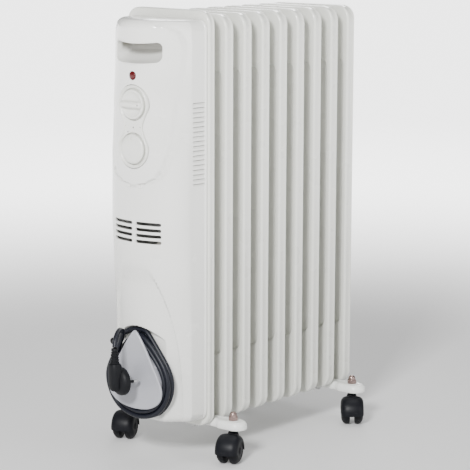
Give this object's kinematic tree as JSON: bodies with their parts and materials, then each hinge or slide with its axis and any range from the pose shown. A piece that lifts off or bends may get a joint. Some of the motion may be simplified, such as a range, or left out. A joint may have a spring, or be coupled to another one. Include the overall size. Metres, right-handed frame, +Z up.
{
  "type": "oil filled radiator heater",
  "caption": "Free-standing oil filled radiator heater with a crowned control casing, flat sections, wound mains cord and swivel casters.",
  "frame": {"origin": "middle of the base: centred on the body's plan, on the floor under the wheels, cord left out", "axes": "+Z up; -Y is the control side; the sections follow along +Y; +X is to the right seen from the control side"},
  "size_m": [0.2716, 0.4488, 0.634],
  "materials": {
    "section_paint": "gloss",
    "bracket_paint": "gloss",
    "casing_plastic": "satin",
    "knob_plastic": "satin",
    "lamp_red": "gloss",
    "insulator": "matt",
    "zinc_steel": "satin",
    "copper_nut": "polished",
    "caster_black": "satin",
    "stud_black": "satin",
    "cord_sheath": "satin",
    "plug_black": "matt"
  },
  "bodies": {
    "radiator": {"fin_1": "section_paint", "fin_2": "section_paint", "fin_3": "section_paint", "fin_4": "section_paint", "fin_5": "section_paint", "fin_6": "section_paint", "fin_7": "section_paint", "fin_8": "section_paint", "fin_9": "section_paint", "upper_header": "section_paint", "lower_header": "section_paint", "heating_element": "zinc_steel", "element_flange": "zinc_steel", "front_cover": "casing_plastic", "casing_back_plate": "zinc_steel", "handle_cup": "casing_plastic", "control_bezel": "knob_plastic", "thermostat": "insulator", "selector_switch": "insulator", "pilot_lamp_lens": "lamp_red", "pilot_lamp_holder": "insulator", "thermal_cutout": "insulator", "terminal_block": "insulator", "cord_cleat": "casing_plastic", "cord_gland": "plug_black", "cord_coil": "cord_sheath", "cord_tail": "cord_sheath", "plug": "plug_black", "front_bracket": "bracket_paint", "rear_bracket": "bracket_paint", "front_hook_bolt": "zinc_steel", "rear_hook_bolt": "zinc_steel", "front_wing_nut": "zinc_steel", "rear_wing_nut": "zinc_steel", "acorn_nut_fl": "copper_nut", "swivel_stud_fl": "stud_black", "acorn_nut_fr": "copper_nut", "swivel_stud_fr": "stud_black", "acorn_nut_rl": "copper_nut", "swivel_stud_rl": "stud_black", "acorn_nut_rr": "copper_nut", "swivel_stud_rr": "stud_black"},
    "selector": {"selector_knob": "knob_plastic"},
    "thermostat_dial": {"thermostat_knob": "knob_plastic"},
    "caster_fl": {"caster_hood_fl": "caster_black", "axle_fl": "zinc_steel"},
    "wheel_l_fl": {"wheel_l_fl": "caster_black"},
    "wheel_r_fl": {"wheel_r_fl": "caster_black"},
    "caster_fr": {"caster_hood_fr": "caster_black", "axle_fr": "zinc_steel"},
    "wheel_l_fr": {"wheel_l_fr": "caster_black"},
    "wheel_r_fr": {"wheel_r_fr": "caster_black"},
    "caster_rl": {"caster_hood_rl": "caster_black", "axle_rl": "zinc_steel"},
    "wheel_l_rl": {"wheel_l_rl": "caster_black"},
    "wheel_r_rl": {"wheel_r_rl": "caster_black"},
    "caster_rr": {"caster_hood_rr": "caster_black", "axle_rr": "zinc_steel"},
    "wheel_l_rr": {"wheel_l_rr": "caster_black"},
    "wheel_r_rr": {"wheel_r_rr": "caster_black"}
  },
  "joints": [
    {"name": "selector_turn", "type": "hinge", "parent": "radiator", "child": "selector", "pos_m": [0, -0.19575, 0.5065], "axis": [0, 1, 0], "range_deg": [0, 135]},
    {"name": "thermostat_turn", "type": "hinge", "parent": "radiator", "child": "thermostat_dial", "pos_m": [0, -0.19575, 0.445], "axis": [0, 1, 0], "range_deg": [0, 270]},
    {"name": "swivel_fl", "type": "hinge", "parent": "radiator", "child": "caster_fl", "pos_m": [-0.101, -0.10275, 0.0427], "axis": [0, 0, 1], "continuous": true},
    {"name": "wheel_l_fl_roll", "type": "hinge", "parent": "caster_fl", "child": "wheel_l_fl", "pos_m": [-0.09466, -0.11634, 0.019], "axis": [0.9063, 0.4226, 0], "continuous": true},
    {"name": "wheel_r_fl_roll", "type": "hinge", "parent": "caster_fl", "child": "wheel_r_fl", "pos_m": [-0.09466, -0.11634, 0.019], "axis": [0.9063, 0.4226, 0], "continuous": true},
    {"name": "swivel_fr", "type": "hinge", "parent": "radiator", "child": "caster_fr", "pos_m": [0.101, -0.10275, 0.0427], "axis": [0, 0, 1], "continuous": true},
    {"name": "wheel_l_fr_roll", "type": "hinge", "parent": "caster_fr", "child": "wheel_l_fr", "pos_m": [0.10638, -0.11675, 0.019], "axis": [0.9336, 0.3584, 0], "continuous": true},
    {"name": "wheel_r_fr_roll", "type": "hinge", "parent": "caster_fr", "child": "wheel_r_fr", "pos_m": [0.10638, -0.11675, 0.019], "axis": [0.9336, 0.3584, 0], "continuous": true},
    {"name": "swivel_rl", "type": "hinge", "parent": "radiator", "child": "caster_rl", "pos_m": [-0.101, 0.17725, 0.0427], "axis": [0, 0, 1], "continuous": true},
    {"name": "wheel_l_rl_roll", "type": "hinge", "parent": "caster_rl", "child": "wheel_l_rl", "pos_m": [-0.11064, 0.16576, 0.019], "axis": [0.766, -0.6428, 0], "continuous": true},
    {"name": "wheel_r_rl_roll", "type": "hinge", "parent": "caster_rl", "child": "wheel_r_rl", "pos_m": [-0.11064, 0.16576, 0.019], "axis": [0.766, -0.6428, 0], "continuous": true},
    {"name": "swivel_rr", "type": "hinge", "parent": "radiator", "child": "caster_rr", "pos_m": [0.101, 0.17725, 0.0427], "axis": [0, 0, 1], "continuous": true},
    {"name": "wheel_l_rr_roll", "type": "hinge", "parent": "caster_rr", "child": "wheel_l_rr", "pos_m": [0.11064, 0.16576, 0.019], "axis": [0.766, 0.6428, 0], "continuous": true},
    {"name": "wheel_r_rr_roll", "type": "hinge", "parent": "caster_rr", "child": "wheel_r_rr", "pos_m": [0.11064, 0.16576, 0.019], "axis": [0.766, 0.6428, 0], "continuous": true}
  ]
}
